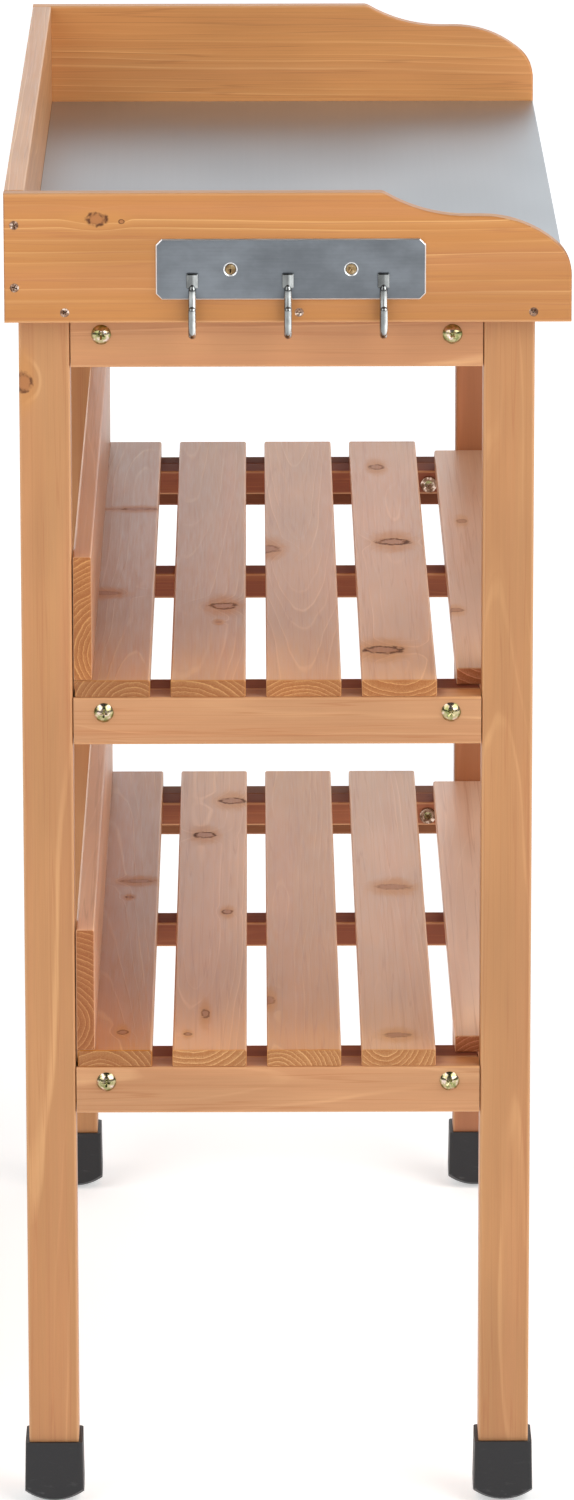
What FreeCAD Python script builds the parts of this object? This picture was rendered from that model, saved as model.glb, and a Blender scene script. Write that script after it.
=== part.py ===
import FreeCAD, Part
import math
import os
import Sketcher

# A potting bench of solid softwood: two end frames, a tray with a metal covered worktop, two
# slatted shelves and a hook plate on the left end. Millimetres. +Z is up, the front is towards
# -Y and the left end is towards -X. The origin is on the floor under the middle of the whole
# bench, hooks included. The pieces are worked out about the middle of the tray, and the move
# from there to the origin is made once, as each finished piece is kept.

os.makedirs("parts", exist_ok=True)
doc = FreeCAD.newDocument("potting_bench")
vector = FreeCAD.Vector

SIZES = (
    ("bench_length", 780.0),
    ("bench_depth", 380.0),
    ("bench_height", 930.0),
    ("side_board_tall", 88.0),
    ("side_board_thick", 12.5),
    ("back_board_thick", 14.0),
    ("panel_thick", 14.0),
    ("sheet_thick", 0.8),
    ("sheet_return", 14.0),
    ("leg_wide", 34.5),
    ("leg_thick", 32.0),
    ("leg_back_inset", 9.0),
    ("leg_front_inset", 24.0),
    ("rail_thick", 24.0),
    ("rail_tall", 33.0),
    ("tenon_thick", 12.0),
    ("tenon_tall", 21.0),
    ("tenon_long", 22.0),
    ("shoulder_gap", 0.4),
    ("batten_thick", 28.0),
    ("batten_tall", 18.0),
    ("mid_shelf_height", 580.0),
    ("low_shelf_height", 318.0),
    ("slat_wide", 51.0),
    ("slat_thick", 12.0),
    ("slat_pitch", 65.0),
    ("stop_thick", 12.5),
    ("stop_tall", 86.0),
    ("scroll_dip", 16.0),
    ("scroll_run", 56.5),
    ("scroll_dip_start", -120.0),
    ("scroll_edge_round", 8.0),
    ("nose_round", 28.0),
    ("nose_rise", 40.0),
    ("cap_wall", 2.6),
    ("cap_flare", 0.8),
    ("cap_tall", 46.0),
    ("cap_floor", 14.0),
    ("cap_dome_radius", 36.0),
    ("bolt_spacing", 236.0),
    ("bolt_drop", 10.5),
    ("bolt_shank", 6.0),
    ("bolt_long", 45.0),
    ("bolt_head", 13.4),
    ("bolt_head_tall", 3.8),
    ("insert_outer", 8.6),
    ("insert_long", 14.0),
    ("insert_flange", 12.6),
    ("insert_flange_tall", 1.4),
    ("plate_wide", 180.6),
    ("plate_tall", 41.2),
    ("plate_thick", 1.6),
    ("plate_corner", 4.0),
    ("hook_pitch", 64.0),
    ("hook_wire", 5.4),
    ("hook_bend_radius", 9.0),
    ("hook_drop", 30.6),
    ("hook_tip_rise", 9.2),
    ("hook_tab_wide", 8.0),
    ("hook_tab_tall", 10.0),
    ("hook_tab_thick", 2.4),
    ("hook_shoulder", 4.5),
)

sheet = doc.addObject("Spreadsheet::Sheet", "Sizes")
size = {}
for row, (alias, number) in enumerate(SIZES, start=1):
    sheet.set("A%d" % row, alias)
    sheet.set("B%d" % row, str(number))
    sheet.setAlias("B%d" % row, alias)
    size[alias] = number
doc.recompute()

# Planes of the bench that several pieces share.
HALF_LENGTH = size["bench_length"] / 2
HALF_DEPTH = size["bench_depth"] / 2
FRAME_TOP = size["bench_height"] - size["side_board_tall"]
FRAME_END = HALF_LENGTH - size["side_board_thick"]
LEG_INNER_END = FRAME_END - size["leg_thick"]
RAIL_INNER_END = FRAME_END - size["rail_thick"]
BATTEN_INNER_END = RAIL_INNER_END - size["batten_thick"]
LEG_BACK = HALF_DEPTH - size["leg_back_inset"]
LEG_FRONT = -HALF_DEPTH + size["leg_front_inset"]
RAIL_BACK = LEG_BACK - size["leg_wide"]
RAIL_FRONT = LEG_FRONT + size["leg_wide"]
RAIL_MIDDLE = (RAIL_BACK + RAIL_FRONT) / 2
PANEL_TOP = FRAME_TOP + size["panel_thick"]
PANEL_BACK = HALF_DEPTH - size["back_board_thick"]
PANEL_MIDDLE = (FRAME_TOP + PANEL_TOP) / 2
TIERS = {
    "top": FRAME_TOP,
    "mid": size["mid_shelf_height"],
    "low": size["low_shelf_height"],
}
SHELVES = ("mid", "low")
ENDS = {"left": -1, "right": 1}
FRONT_SLAT = LEG_FRONT + size["slat_wide"] / 2
SLAT_ROWS = [FRONT_SLAT + (4 - row) * size["slat_pitch"] for row in range(5)]
STOP_FRONT = RAIL_BACK - 0.7 - size["stop_thick"]
PLATE_FACE = -HALF_LENGTH - size["plate_thick"]
PLATE_MIDDLE = (-2.0, FRAME_TOP + 36.6)
HOOK_TOP = FRAME_TOP + 34.0

# How far the tray's middle lies from the origin, because the hooks stand out on one end only.
HOOK_REACH = size["plate_thick"] + size["hook_wire"] + 2 * size["hook_bend_radius"]
TRAY_MIDDLE = vector(HOOK_REACH / 2, 0, 0)

# Free space round a shank in its hole and between a board's end and the piece beside it.
SHANK_PLAY = 0.1
END_PLAY = 0.5

# The angle, in degrees, at which the first fastener of a group stopped, and the step to the next.
FIRST_TURN = 40.0
NEXT_TURN = 53.0

# The radius of the ball that rounds off a bolt's head.
BOLT_DOME = 8.2

pieces = []


def keep(piece, label):
    """Names a finished sub-part, moves it to the bench's origin and lists it for export."""
    piece.Label = label
    piece.Placement.Base += TRAY_MIDDLE
    pieces.append(piece)
    return piece


def bind(feature, **links):
    """Ties properties of a feature to expressions over the sheet."""
    for name, expression in links.items():
        feature.setExpression(name, expression)
    return feature


def box(name, length, width, height, corner=(0, 0, 0)):
    """A block whose three sizes are expressions, with its least corner at the point given."""
    block = doc.addObject("Part::Box", name)
    bind(block, Length=length, Width=width, Height=height)
    block.Placement.Base = vector(*corner)
    return block


def eased(block, radius, chosen=None):
    """The block with its edges rounded, all of them or the ones that the test picks."""
    doc.recompute()
    rounded = doc.addObject("Part::Fillet", block.Name + "_eased")
    rounded.Base = block
    edges = block.Shape.Edges
    rounded.Edges = [
        (number, radius, radius)
        for number, edge in enumerate(edges, start=1)
        if chosen is None or chosen(edge)
    ]
    return rounded


def joined(name, first, second):
    """Two overlapping solids made one."""
    fuse = doc.addObject("Part::Fuse", name)
    fuse.Base = first
    fuse.Tool = second
    return fuse


def bundle(name, members):
    """Several objects held together as one compound."""
    group = doc.addObject("Part::Compound", name)
    group.Links = members
    return group


def merged(name, members):
    """Several objects, which may overlap, made into one shape."""
    if len(members) == 1:
        return members[0]
    union = doc.addObject("Part::MultiFuse", name)
    union.Shapes = members
    return union


def taken(name, blank, tools):
    """The blank less all the tools."""
    cut = doc.addObject("Part::Cut", name)
    cut.Base = blank
    cut.Tool = merged(name + "_tools", tools)
    return cut


def along(direction):
    """The rotation that turns +Z to the direction."""
    return FreeCAD.Rotation(vector(0, 0, 1), vector(*direction))


class Fastener:
    """One kind of screw, bolt, pin or nail. Its head is at a spot and its shank runs on from it."""

    def __init__(self, name, shank, length, head=0.0, sunk=0.0, pocket=0.0, pocket_deep=0.0):
        self.name = name
        self.shank = shank
        self.length = length
        self.head = head
        self.sunk = sunk
        self.pocket = pocket
        self.pocket_deep = pocket_deep
        self.spots = []

    def add(self, place, direction):
        self.spots.append((vector(*place), vector(*direction)))

    def hole(self, name, place, direction, corner):
        """The bore that one of these needs, in the frame of the piece whose corner is given."""
        turn = along(direction)
        bore = doc.addObject("Part::Cylinder", name + "_bore")
        bore.Radius = self.shank / 2 + SHANK_PLAY
        bore.Height = self.length + 0.5
        bore.Placement = FreeCAD.Placement(place - corner, turn)
        tools = [bore]
        if self.sunk:
            sink = doc.addObject("Part::Cone", name + "_sink")
            sink.Radius1 = self.head / 2 + SHANK_PLAY
            sink.Radius2 = self.shank / 2 + SHANK_PLAY
            sink.Height = self.sunk
            sink.Placement = FreeCAD.Placement(place - corner, turn)
            tools.append(sink)
        if self.pocket:
            well = doc.addObject("Part::Cylinder", name + "_well")
            well.Radius = self.pocket / 2
            well.Height = self.pocket_deep
            well.Placement = FreeCAD.Placement(place - corner, turn)
            tools.append(well)
        return tools


def touches(start, stop, low, high, radius):
    """Whether the round bar from start to stop reaches into the box from low to high."""
    for axis in range(3):
        least = min(start[axis], stop[axis])
        most = max(start[axis], stop[axis])
        sideways = radius if abs(start[axis] - stop[axis]) < 1e-6 else -0.01
        if most + sideways < low[axis] or least - sideways > high[axis]:
            return False
    return True


def holes(name, low, high):
    """Every hole that the fasteners need in the piece that fills the box from low to high."""
    tools = []
    for kind in FASTENERS:
        for number, (place, direction) in enumerate(kind.spots):
            end = place + direction * kind.length
            if touches(place, end, low, high, kind.shank / 2):
                label = "%s_%s_%d" % (name, kind.name, number)
                tools += kind.hole(label, place, direction, low)
    return tools


def finished(label, blank, low, high, more=()):
    """Bores the blank, places it with its least corner at low and lists it as a sub-part."""
    tools = list(more) + holes(label, low, high)
    piece = taken(label, blank, tools) if tools else blank
    piece.Placement.Base = low
    return keep(piece, label)


def board(label, length, width, height, low, high, ease):
    """A straight board with eased edges, made at its own corner and then put in place."""
    blank = eased(box(label + "_blank", length, width, height), ease)
    return finished(label, blank, vector(*low), vector(*high))


def origin_plane(body, role):
    """One of the body's own base planes."""
    return next(item for item in body.Origin.OriginFeatures if item.Role == role)


def sketch_on(body, name, role):
    """A new sketch flat on one of the body's base planes."""
    sketch = body.newObject("Sketcher::SketchObject", name)
    sketch.AttachmentSupport = [(origin_plane(body, role), "")]
    sketch.MapMode = "FlatFace"
    return sketch


def chain(sketch, points, closed=True):
    """Joins the points with straight lines, each end tied to the next."""
    first = sketch.GeometryCount
    pairs = list(zip(points, points[1:] + points[:1])) if closed else list(zip(points, points[1:]))
    for start, stop in pairs:
        sketch.addGeometry(Part.LineSegment(vector(*start, 0), vector(*stop, 0)), False)
    last = sketch.GeometryCount - 1
    for number in range(first, last):
        sketch.addConstraint(Sketcher.Constraint("Coincident", number, 2, number + 1, 1))
    if closed:
        sketch.addConstraint(Sketcher.Constraint("Coincident", last, 2, first, 1))
    return first


def rectangle(sketch, wide, tall, wide_link, tall_link):
    """A rectangle centred on the sketch's origin with both sizes bound to the sheet."""
    x, y = wide / 2, tall / 2
    chain(sketch, [(-x, -y), (x, -y), (x, y), (-x, y)])
    for number, kind in ((0, "Horizontal"), (1, "Vertical"), (2, "Horizontal"), (3, "Vertical")):
        sketch.addConstraint(Sketcher.Constraint(kind, number))
    sketch.addConstraint(Sketcher.Constraint("Symmetric", 0, 1, 1, 2, -1, 1))
    across = sketch.addConstraint(Sketcher.Constraint("DistanceX", 0, 1, 0, 2, wide))
    up = sketch.addConstraint(Sketcher.Constraint("DistanceY", 1, 1, 1, 2, tall))
    sketch.setExpression("Constraints[%d]" % across, wide_link)
    sketch.setExpression("Constraints[%d]" % up, tall_link)


def padded(body, sketch, name, length_link):
    """The sketch extruded by a length from the sheet."""
    pad = body.newObject("PartDesign::Pad", name)
    pad.Profile = sketch
    pad.setExpression("Length", length_link)
    return pad


# ---------------------------------------------------------------------------------------------
# Fasteners: where each one sits. The pieces below take their holes from these lists.

RAIL_BOLT = Fastener("bolt", size["bolt_shank"], size["bolt_long"])
INSERT = Fastener("insert", size["insert_outer"], size["insert_long"])
BOARD_SCREW = Fastener("board_screw", 3.0, 35.0, head=6.0, sunk=2.4)
PANEL_SCREW = Fastener("panel_screw", 3.5, 28.0, head=7.0, sunk=3.0)
SLAT_SCREW = Fastener("slat_screw", 3.5, 26.0, head=7.0, sunk=3.0)
STOP_SCREW = Fastener("stop_screw", 3.5, 30.0, head=7.0, sunk=3.0)
PLATE_SCREW = Fastener("plate_screw", 3.5, 11.5, head=6.8, sunk=1.4)
TENON_PIN = Fastener("tenon_pin", 3.2, 24.0, pocket=4.4, pocket_deep=0.6)
SHEET_NAIL = Fastener("sheet_nail", 1.8, 10.0)
FASTENERS = (
    RAIL_BOLT, INSERT, BOARD_SCREW, PANEL_SCREW, SLAT_SCREW,
    STOP_SCREW, PLATE_SCREW, TENON_PIN, SHEET_NAIL,
)

by_group = {}


def fasten(group, kind, place, direction):
    """Adds one fastener to its kind and to the node that it is exported with."""
    kind.add(place, direction)
    by_group.setdefault(group, (kind, []))[1].append((vector(*place), vector(*direction)))


for tier, height in TIERS.items():
    bolt_height = height - size["bolt_drop"]
    for side in ENDS.values():
        for offset in (-0.5, 0.5):
            y = RAIL_MIDDLE + offset * size["bolt_spacing"]
            fasten("rail_bolts_" + tier, RAIL_BOLT, (side * FRAME_END, y, bolt_height), (-side, 0, 0))
            inner = (side * BATTEN_INNER_END, y, bolt_height)
            fasten("insert_nuts_" + tier, INSERT, inner, (side, 0, 0))
        for y in (RAIL_BACK + 13.5, RAIL_FRONT - 13.5):
            place = (side * (LEG_INNER_END + 0.5), y, height - size["rail_tall"] / 2)
            fasten("tenon_pins", TENON_PIN, place, (side, 0, 0))

for side in ENDS.values():
    for y in (-164.5, -7.5, 149.5):
        place = (side * HALF_LENGTH, y, PANEL_MIDDLE)
        fasten("side_board_screws", BOARD_SCREW, place, (-side, 0, 0))
    for up in (24.0, 66.5):
        place = (side * HALF_LENGTH, HALF_DEPTH - size["back_board_thick"] / 2, FRAME_TOP + up)
        fasten("side_board_screws", BOARD_SCREW, place, (-side, 0, 0))

for x in (-300.0, -100.0, 100.0, 300.0):
    fasten("back_board_screws", BOARD_SCREW, (x, HALF_DEPTH, PANEL_MIDDLE), (0, -1, 0))

BATTEN_MIDDLE = (RAIL_INNER_END + BATTEN_INNER_END) / 2
BATTEN_ROWS = {"left": -BATTEN_MIDDLE, "centre": 0.0, "right": BATTEN_MIDDLE}
for x in BATTEN_ROWS.values():
    for offset in (-93.0, 0.0, 93.0):
        place = (x, RAIL_MIDDLE + offset, FRAME_TOP - size["batten_tall"])
        fasten("panel_screws", PANEL_SCREW, place, (0, 0, 1))
for shelf in SHELVES:
    underside = TIERS[shelf] - size["batten_tall"]
    for name, x in BATTEN_ROWS.items():
        for row, y in enumerate(SLAT_ROWS):
            if row == 0 and name != "centre":
                y -= 14.0
            if row == 4 and name != "centre":
                y = RAIL_FRONT + 8.0
            fasten("slat_screws_" + shelf, SLAT_SCREW, (x, y, underside), (0, 0, 1))
    for x in (-290.0, -120.0, 120.0, 290.0):
        place = (x, STOP_FRONT + size["stop_thick"] / 2, TIERS[shelf])
        fasten("stop_board_screws", STOP_SCREW, place, (0, 0, 1))

for offset in (-40.4, 40.4):
    place = (PLATE_FACE, PLATE_MIDDLE[0] + offset, PLATE_MIDDLE[1])
    fasten("hook_plate_screws", PLATE_SCREW, place, (1, 0, 0))
for x in (-320.0, -160.0, 0.0, 160.0, 320.0):
    place = (x, -HALF_DEPTH + 9.0, FRAME_TOP - size["sheet_thick"])
    fasten("sheet_nails", SHEET_NAIL, place, (0, 0, 1))


# ---------------------------------------------------------------------------------------------
# End frames.

def leg(label, side, y):
    """A square leg with a mortise for the tenon of each rail and eased long edges."""
    blank = box(
        label + "_blank", "Sizes.leg_thick", "Sizes.leg_wide",
        "Sizes.bench_height - Sizes.side_board_tall - Sizes.cap_floor",
    )
    upright = eased(blank, 2.2, lambda edge: edge.Length > 100)
    inner = LEG_INNER_END if side > 0 else -FRAME_END
    low = vector(inner, y, size["cap_floor"])
    high = low + vector(size["leg_thick"], size["leg_wide"], FRAME_TOP - size["cap_floor"])
    tenon_inner = FRAME_END - (size["rail_thick"] + size["tenon_thick"]) / 2
    mortise_x = tenon_inner if side > 0 else -tenon_inner - size["tenon_thick"]
    mortise_y = y + size["leg_wide"] - size["tenon_long"] if y < 0 else y
    mortises = []
    for tier, height in TIERS.items():
        z = height - (size["rail_tall"] + size["tenon_tall"]) / 2
        corner = vector(mortise_x - 0.1, mortise_y - 0.2, z - 0.1) - low
        mortises.append(box(
            label + "_mortise_" + tier,
            "Sizes.tenon_thick + 0.2", "Sizes.tenon_long + 0.4", "Sizes.tenon_tall + 0.2", corner,
        ))
    finished(label, upright, low, high, mortises)


def end_rail(label, side, height):
    """A rail between two legs, with a stub tenon on each end and a fine gap at each shoulder."""
    span = "Sizes.bench_depth - Sizes.leg_back_inset - Sizes.leg_front_inset - 2 * Sizes.leg_wide"
    blank = box(
        label + "_blank", "Sizes.rail_thick", span + " - 2 * Sizes.shoulder_gap",
        "Sizes.rail_tall",
    )
    bar = eased(blank, 1.6, lambda edge: edge.Length > 100)
    past_shoulder = size["tenon_long"] + size["shoulder_gap"]
    tongue = box(
        label + "_tongue", "Sizes.tenon_thick", span + " + 2 * Sizes.tenon_long",
        "Sizes.tenon_tall",
        (
            (size["rail_thick"] - size["tenon_thick"]) / 2,
            -past_shoulder,
            (size["rail_tall"] - size["tenon_tall"]) / 2,
        ),
    )
    rail = joined(label + "_tenoned", bar, tongue)
    x = RAIL_INNER_END if side > 0 else -FRAME_END
    low = vector(x, RAIL_FRONT + size["shoulder_gap"], height - size["rail_tall"])
    high = vector(x + size["rail_thick"], RAIL_BACK - size["shoulder_gap"], height)
    reach = vector(0, past_shoulder, 0)
    tools = holes(label, low - reach, high + reach)
    for tool in tools:
        tool.Placement.Base -= reach
    piece = taken(label, rail, tools)
    piece.Placement.Base = low
    keep(piece, label)


def foot_cap(label, side, y):
    """A moulded cap with a flared wall and a domed underside, pushed onto the end of a leg."""
    body = doc.addObject("PartDesign::Body", label + "_body")
    outline = sketch_on(body, label + "_outline", "XY_Plane")
    grown = "2 * Sizes.cap_wall + 2 * Sizes.cap_flare"
    extra = 2 * size["cap_wall"] + 2 * size["cap_flare"]
    rectangle(
        outline, size["leg_thick"] + extra, size["leg_wide"] + extra,
        "Sizes.leg_thick + " + grown, "Sizes.leg_wide + " + grown,
    )
    wall = padded(body, outline, label + "_wall", "Sizes.cap_tall")
    wall.setExpression("TaperAngle", "-atan(Sizes.cap_flare / Sizes.cap_tall)")
    doc.recompute()
    uprights = [
        "Edge%d" % number
        for number, edge in enumerate(wall.Shape.Edges, start=1)
        if edge.BoundBox.ZLength > 10
    ]
    corners = body.newObject("PartDesign::Fillet", label + "_corners")
    corners.Base = (wall, uprights)
    corners.Radius = 2.6
    doc.recompute()
    dome = doc.addObject("Part::Sphere", label + "_dome")
    dome.setExpression("Radius", "Sizes.cap_dome_radius")
    dome.Placement.Base = vector(0, 0, size["cap_dome_radius"] - 0.5)
    domed = doc.addObject("Part::Common", label + "_domed")
    domed.Base = body
    domed.Tool = dome
    socket = box(
        label + "_socket", "Sizes.leg_thick + 0.2", "Sizes.leg_wide + 0.2", "Sizes.cap_tall",
        (-size["leg_thick"] / 2 - 0.1, -size["leg_wide"] / 2 - 0.1, size["cap_floor"]),
    )
    cap = taken(label, domed, [socket])
    middle = side * (FRAME_END - size["leg_thick"] / 2)
    cap.Placement.Base = vector(middle, y + size["leg_wide"] / 2, 0)
    keep(cap, label)


for end, side in ENDS.items():
    for depth, y in (("back", RAIL_BACK), ("front", LEG_FRONT)):
        leg("leg_%s_%s" % (depth, end), side, y)
        foot_cap("foot_cap_%s_%s" % (depth, end), side, y)
    for tier, height in TIERS.items():
        end_rail("end_rail_%s_%s" % (tier, end), side, height)


# ---------------------------------------------------------------------------------------------
# Worktop tray.

def side_profile():
    """The outline of a tray side, from its lower front corner round to the same corner.

    The level top edge turns down through a small round, dips in a hollow, runs level again and
    rounds over to the front in two arcs. Every one of these meets the next at a tangent.
    """
    back, top = HALF_DEPTH, size["side_board_tall"]
    dip = top - size["scroll_dip"]
    drop = size["scroll_dip"]
    run = size["scroll_run"]
    dip_start = size["scroll_dip_start"]
    shoulder = dip_start - 10.0
    edge = size["scroll_edge_round"]
    hollow = (run ** 2 + drop ** 2) / (2 * drop)
    hollow_middle = vector(dip_start, dip + hollow, 0)
    edge_middle = vector(
        dip_start + math.sqrt(drop * (2 * (hollow + edge) - drop)), top - edge, 0,
    )
    nose = size["nose_round"]
    nose_rise = size["nose_rise"]
    across = back + shoulder - nose
    crown = (across ** 2 + nose_rise ** 2 - nose ** 2) / (2 * (nose_rise - nose))
    crown_middle = vector(shoulder, dip - crown, 0)
    nose_middle = vector(-back + nose, dip - nose_rise, 0)

    def on_circle(middle, radius, aim):
        return middle + vector(math.cos(aim), math.sin(aim), 0) * radius

    def arc(middle, radius, first, last):
        ends = [on_circle(middle, radius, aim) for aim in (first, (first + last) / 2, last)]
        return Part.Arc(*ends)

    meeting = edge_middle - hollow_middle
    hollow_aim = math.atan2(meeting.y, meeting.x)
    join = nose_middle - crown_middle
    crown_aim = math.atan2(join.y, join.x)
    top_round = arc(edge_middle, edge, math.pi / 2, hollow_aim + math.pi)
    dished = arc(hollow_middle, hollow, hollow_aim, -math.pi / 2)
    crowned = arc(crown_middle, crown, math.pi / 2, crown_aim)
    nosed = arc(nose_middle, nose, crown_aim, math.pi)
    foot = vector(-back, 0, 0)
    corner = vector(back, 0, 0)
    peak = vector(back, top, 0)
    return [
        Part.LineSegment(foot, corner),
        Part.LineSegment(corner, peak),
        Part.LineSegment(peak, vector(edge_middle.x, top, 0)),
        top_round,
        dished,
        Part.LineSegment(vector(dip_start, dip, 0), vector(shoulder, dip, 0)),
        crowned,
        nosed,
        Part.LineSegment(vector(-back, dip - nose_rise, 0), foot),
    ]


def side_board(label, side):
    """A tray side with its outline eased all round on both faces."""
    body = doc.addObject("PartDesign::Body", label + "_body")
    outline = sketch_on(body, label + "_outline", "YZ_Plane")
    outline.addGeometry(side_profile(), False)
    plank = padded(body, outline, label + "_plank", "Sizes.side_board_thick")
    doc.recompute()
    rims = [
        "Edge%d" % number
        for number, edge in enumerate(plank.Shape.Edges, start=1)
        if edge.BoundBox.XLength < 0.01
    ]
    ease = body.newObject("PartDesign::Fillet", label + "_ease")
    ease.Base = (plank, rims)
    ease.Radius = 1.4
    doc.recompute()
    x = FRAME_END if side > 0 else -HALF_LENGTH
    place = vector(x, 0, FRAME_TOP)
    low = vector(x, -HALF_DEPTH, FRAME_TOP)
    high = vector(x + size["side_board_thick"], HALF_DEPTH, size["bench_height"])
    tools = holes(label, low, high)
    for tool in tools:
        tool.Placement.Base -= place - low
    piece = taken(label, body, tools)
    piece.Placement.Base = place
    keep(piece, label)


def worktop_sheet():
    """Thin sheet over the panel, folded down its front edge and back under it."""
    body = doc.addObject("PartDesign::Body", "worktop_sheet_body")
    outline = sketch_on(body, "worktop_sheet_outline", "YZ_Plane")
    gauge, front = size["sheet_thick"], -HALF_DEPTH
    back, top, bottom = PANEL_BACK - 0.3, size["panel_thick"] + 2 * size["sheet_thick"], 0.0
    inner = front + gauge
    chain(outline, [
        (front, bottom),
        (front + size["sheet_return"], bottom),
        (front + size["sheet_return"], bottom + gauge),
        (inner, bottom + gauge),
        (inner, top - gauge),
        (back, top - gauge),
        (back, top),
        (front, top),
    ])
    skin = padded(
        body, outline, "worktop_sheet_skin",
        "Sizes.bench_length - 2 * Sizes.side_board_thick - 0.4",
    )
    doc.recompute()
    folds = [
        "Edge%d" % number
        for number, edge in enumerate(skin.Shape.Edges, start=1)
        if edge.BoundBox.XLength > 100 and abs(edge.CenterOfMass.y - front) < 0.01
    ]
    bend = body.newObject("PartDesign::Fillet", "worktop_sheet_bend")
    bend.Base = (skin, folds)
    bend.Radius = 0.7
    doc.recompute()
    place = vector(-FRAME_END + 0.2, 0, FRAME_TOP - gauge)
    low = vector(-FRAME_END, -HALF_DEPTH, FRAME_TOP - gauge)
    high = vector(FRAME_END, PANEL_BACK, FRAME_TOP - 0.1)
    tools = holes("worktop_sheet", low, high)
    for tool in tools:
        tool.Placement.Base -= place - low
    piece = taken("worktop_sheet", body, tools)
    piece.Placement.Base = place
    keep(piece, "worktop_sheet")


for end, side in ENDS.items():
    side_board("side_board_" + end, side)
board(
    "back_board",
    "Sizes.bench_length - 2 * Sizes.side_board_thick", "Sizes.back_board_thick",
    "Sizes.side_board_tall",
    (-FRAME_END, PANEL_BACK, FRAME_TOP), (FRAME_END, HALF_DEPTH, size["bench_height"]), 1.4,
)
finished(
    "worktop_panel",
    box(
        "worktop_panel_blank", "Sizes.bench_length - 2 * Sizes.side_board_thick",
        "Sizes.bench_depth - Sizes.back_board_thick - Sizes.sheet_thick", "Sizes.panel_thick",
    ),
    vector(-FRAME_END, -HALF_DEPTH + size["sheet_thick"], FRAME_TOP),
    vector(FRAME_END, PANEL_BACK, PANEL_TOP),
)
worktop_sheet()


# ---------------------------------------------------------------------------------------------
# Battens, slats and stop boards.

def battens(tier):
    """Three cross pieces: one bolted inside each end rail and one across the middle."""
    top = TIERS[tier]
    for name, x in BATTEN_ROWS.items():
        label = "batten_%s_%s" % (tier, name)
        if name == "centre":
            front, back = LEG_FRONT + 3.0, RAIL_BACK - 2.0
        else:
            front, back = RAIL_FRONT + END_PLAY, RAIL_BACK - END_PLAY
        half = size["batten_thick"] / 2
        low = vector(x - half, front, top - size["batten_tall"])
        high = vector(x + half, back, top)
        blank = box(label + "_blank", "Sizes.batten_thick", str(back - front), "Sizes.batten_tall")
        finished(label, eased(blank, 1.2), low, high)


def slats(shelf):
    """Five slats over the battens. The front one is shorter, to fit between the front legs."""
    bottom = TIERS[shelf]
    for row, y in enumerate(SLAT_ROWS):
        label = "slat_%s_%d" % (shelf, row + 1)
        half = size["slat_wide"] / 2
        if row == 4:
            reach = LEG_INNER_END - END_PLAY
            length = "Sizes.bench_length - 2 * Sizes.side_board_thick - 2 * Sizes.leg_thick - 1"
        else:
            reach = FRAME_END
            length = "Sizes.bench_length - 2 * Sizes.side_board_thick"
        low = (-reach, y - half, bottom)
        high = (reach, y + half, bottom + size["slat_thick"])
        board(label, length, "Sizes.slat_wide", "Sizes.slat_thick", low, high, 1.5)


def stop_board(shelf):
    """A board on edge along the back of a shelf, in front of the back legs."""
    bottom = TIERS[shelf] + size["slat_thick"]
    low = (-FRAME_END, STOP_FRONT, bottom)
    high = (FRAME_END, STOP_FRONT + size["stop_thick"], bottom + size["stop_tall"])
    length = "Sizes.bench_length - 2 * Sizes.side_board_thick"
    board("stop_board_" + shelf, length, "Sizes.stop_thick", "Sizes.stop_tall", low, high, 1.5)


for tier in TIERS:
    battens(tier)
for shelf in SHELVES:
    slats(shelf)
    stop_board(shelf)


# ---------------------------------------------------------------------------------------------
# Hook plate and hooks.

def hook_plate():
    """A flat plate with clipped corners and two countersunk holes."""
    body = doc.addObject("PartDesign::Body", "hook_plate_body")
    outline = sketch_on(body, "hook_plate_outline", "YZ_Plane")
    rectangle(
        outline, size["plate_wide"], size["plate_tall"], "Sizes.plate_wide", "Sizes.plate_tall",
    )
    plate = padded(body, outline, "hook_plate_blank", "Sizes.plate_thick")
    doc.recompute()
    corners = [
        "Edge%d" % number
        for number, edge in enumerate(plate.Shape.Edges, start=1)
        if edge.BoundBox.XLength > 1
    ]
    clipped = body.newObject("PartDesign::Chamfer", "hook_plate_clipped")
    clipped.Base = (plate, corners)
    clipped.setExpression("Size", "Sizes.plate_corner")
    doc.recompute()
    rims = [
        "Edge%d" % number
        for number, edge in enumerate(clipped.Shape.Edges, start=1)
        if edge.BoundBox.XLength < 0.01 and edge.CenterOfMass.x < 0.01
    ]
    bevel = body.newObject("PartDesign::Chamfer", "hook_plate_bevel")
    bevel.Base = (clipped, rims)
    bevel.Size = 0.7
    doc.recompute()
    tools = []
    for number, (place, direction) in enumerate(PLATE_SCREW.spots):
        sink = doc.addObject("Part::Cone", "hook_plate_sink_%d" % number)
        sink.Radius1 = 4.7
        sink.Radius2 = PLATE_SCREW.shank / 2 + SHANK_PLAY
        sink.Height = 1.5
        local = place - vector(PLATE_FACE, PLATE_MIDDLE[0], PLATE_MIDDLE[1])
        sink.Placement = FreeCAD.Placement(local, along(direction))
        bore = doc.addObject("Part::Cylinder", "hook_plate_bore_%d" % number)
        bore.Radius = PLATE_SCREW.shank / 2 + SHANK_PLAY
        bore.Height = 5
        bore.Placement = sink.Placement
        tools += [sink, bore]
    piece = taken("hook_plate", body, tools)
    piece.Placement.Base = vector(PLATE_FACE, *PLATE_MIDDLE)
    keep(piece, "hook_plate")


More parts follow.
